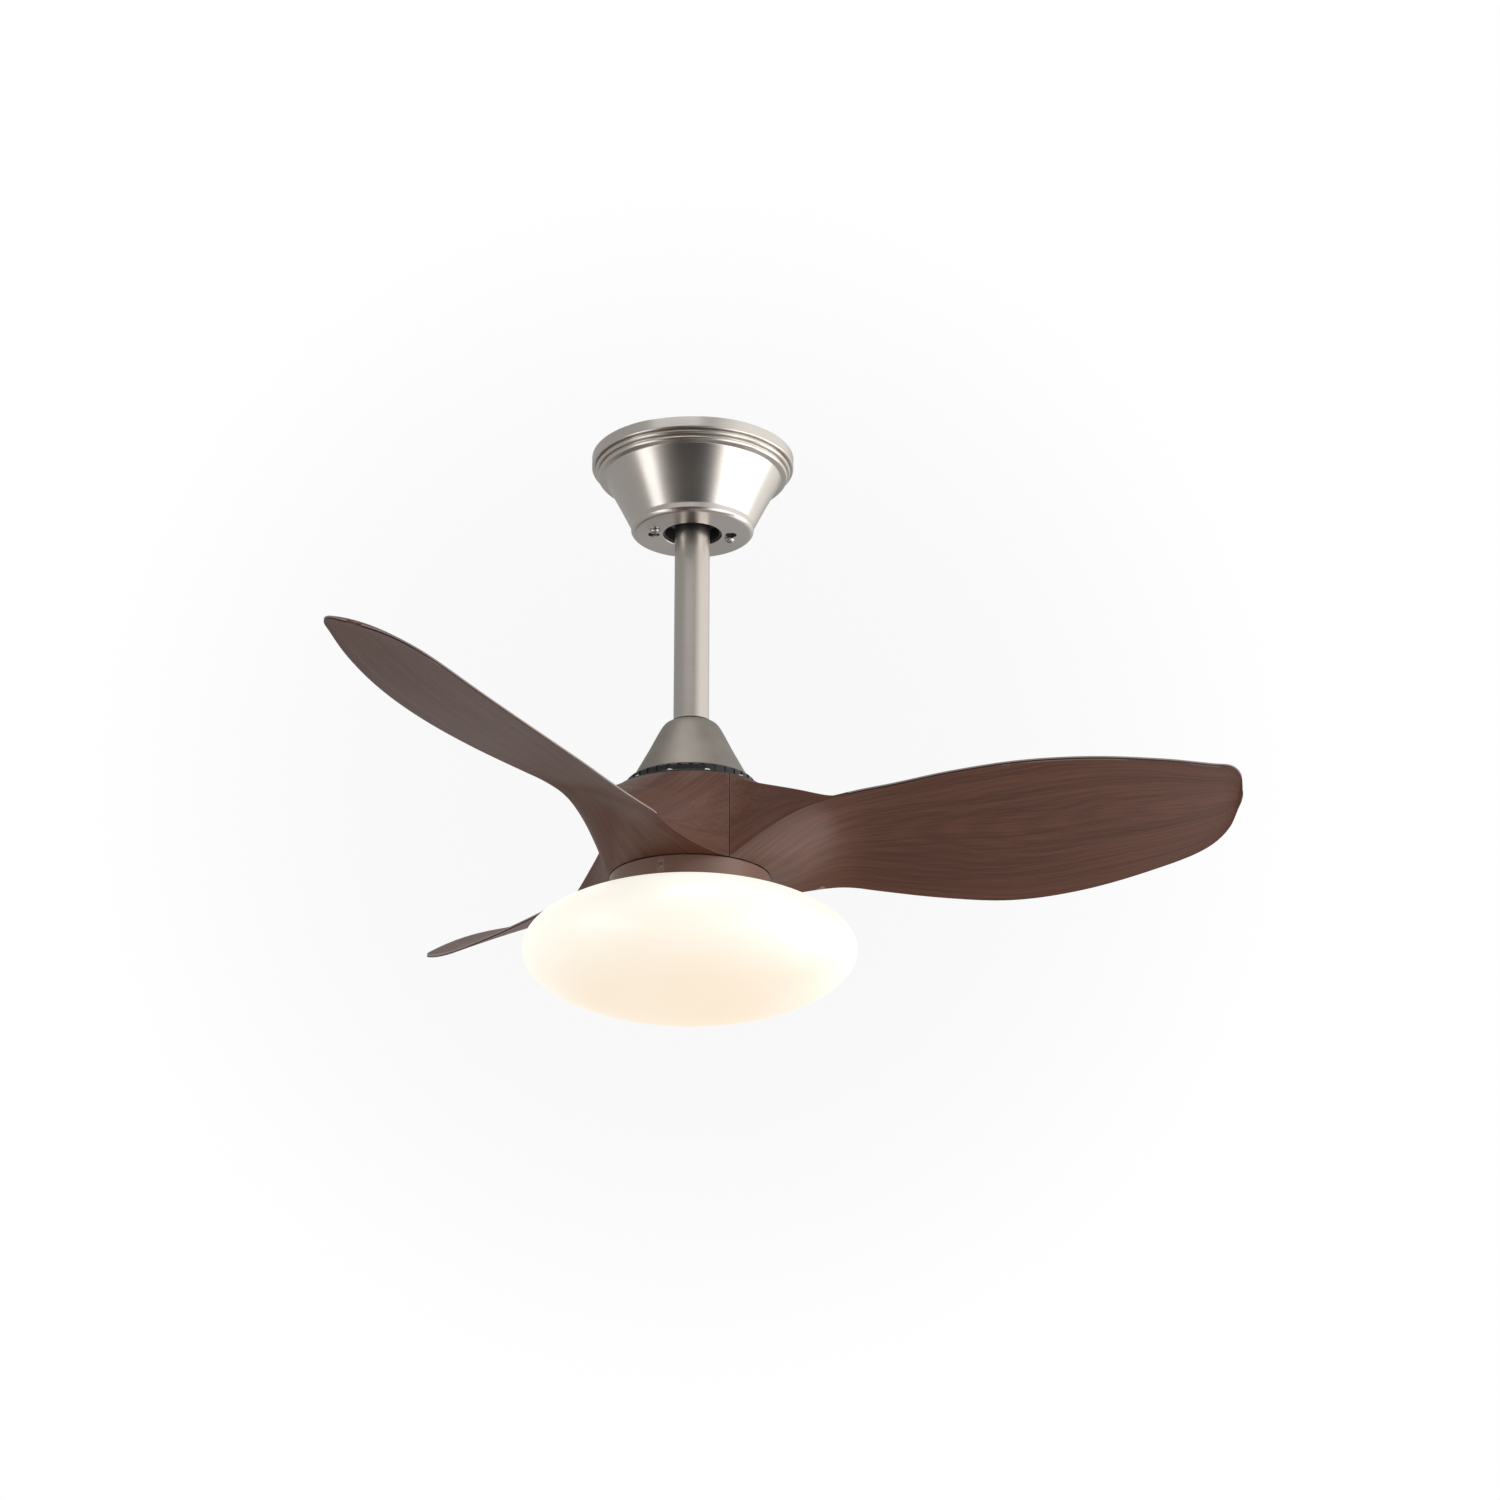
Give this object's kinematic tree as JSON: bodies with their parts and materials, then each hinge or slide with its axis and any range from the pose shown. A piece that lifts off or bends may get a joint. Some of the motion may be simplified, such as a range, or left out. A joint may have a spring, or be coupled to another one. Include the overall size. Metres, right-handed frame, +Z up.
{
  "type": "ceiling fan with light",
  "caption": "Ceiling fan on a short downrod: stepped canopy, tapered motor cover, wide wood-effect blades around a hub, and a flattened opal light below.",
  "frame": {"origin": "centre of the hanger bracket's flat ceiling face", "axes": "+Z up along the downrod and the motor shaft, -Y towards the front, blade 1 near +X"},
  "size_m": [0.6482, 0.7245, 0.442],
  "materials": {
    "canopy": "brushed satin nickel plating",
    "rod": "satin nickel plating",
    "cover": "fine satin nickel coat",
    "bracket": "black coated pressed steel",
    "zinc": "bright zinc plating",
    "steel": "plain ground steel",
    "brass_screw": "plain brass",
    "motor_case": "semi-gloss black coat",
    "blade": "moulded plastic with a satin walnut grain film",
    "pan": "semi-gloss brown",
    "shade": "satin opal, lit from inside",
    "white_plastic": "plain moulded",
    "black_plastic": "plain moulded",
    "sleeve": "woven black sleeve",
    "winding": "enamelled copper wire",
    "lamination": "stacked electrical steel",
    "magnet": "sintered magnet",
    "board": "white solder mask on aluminium"
  },
  "bodies": {
    "ceiling_mount": {"hanger_bracket": "bracket", "canopy_shell": "canopy", "canopy_screw_1": "zinc", "canopy_screw_2": "zinc", "receiver_box": "black_plastic", "terminal_block": "white_plastic", "ground_screw": "brass_screw"},
    "ball_seat": {"ball_seat_liner": "black_plastic"},
    "hanger": {"hanger_ball": "black_plastic", "ball_cross_pin": "zinc", "ball_set_screw": "zinc", "downrod": "rod", "motor_leads": "sleeve", "yoke_collar": "zinc", "clevis_pin": "zinc", "clevis_clip": "steel", "yoke_set_screw_1": "steel", "yoke_set_screw_2": "steel", "motor_shaft": "steel", "stator_core": "lamination", "upper_winding": "winding", "lower_winding": "winding", "upper_bearing_inner_race": "steel", "lower_bearing_inner_race": "steel", "light_mount_plate": "zinc", "shaft_nut": "zinc", "light_pan": "pan", "pan_screw_1": "steel", "pan_screw_2": "steel", "pan_screw_3": "steel", "lamp_board": "board", "board_screw_1": "zinc", "board_screw_2": "zinc", "lamp_driver": "white_plastic"},
    "sliding_cover": {"coupling_cover": "cover"},
    "rotor": {"motor_top_cover": "motor_case", "motor_bottom_cover": "motor_case", "magnet_ring": "magnet", "upper_bearing_outer_race": "steel", "lower_bearing_outer_race": "steel", "blade_1": "blade", "blade_2": "blade", "blade_3": "blade", "blade_1_screw_1": "zinc", "blade_1_screw_2": "zinc", "blade_1_screw_3": "zinc", "blade_1_screw_4": "zinc", "blade_2_screw_1": "zinc", "blade_2_screw_2": "zinc", "blade_2_screw_3": "zinc", "blade_2_screw_4": "zinc", "blade_3_screw_1": "zinc", "blade_3_screw_2": "zinc", "blade_3_screw_3": "zinc", "blade_3_screw_4": "zinc", "drum_screw_1": "steel", "drum_screw_2": "steel", "drum_screw_3": "steel"},
    "lamp_shade": {"shade": "shade", "shade_collar": "white_plastic"}
  },
  "joints": [
    {"name": "hanger_swing_x", "type": "hinge", "parent": "ceiling_mount", "child": "ball_seat", "pos_m": [0, 0, -0.033], "axis": [1, 0, 0], "range_deg": [-8, 8]},
    {"name": "hanger_swing_y", "type": "hinge", "parent": "ball_seat", "child": "hanger", "pos_m": [0, 0, -0.033], "axis": [0, 1, 0], "range_deg": [-8, 8]},
    {"name": "cover_slide", "type": "slide", "parent": "hanger", "child": "sliding_cover", "axis": [0, 0, 1], "range_m": [0, 0.12]},
    {"name": "rotor_spin", "type": "hinge", "parent": "hanger", "child": "rotor", "pos_m": [0, 0, -0.3], "axis": [0, 0, 1], "continuous": true},
    {"name": "shade_twist", "type": "hinge", "parent": "hanger", "child": "lamp_shade", "pos_m": [0, 0, -0.354], "axis": [0, 0, 1], "range_deg": [0, 25]}
  ]
}
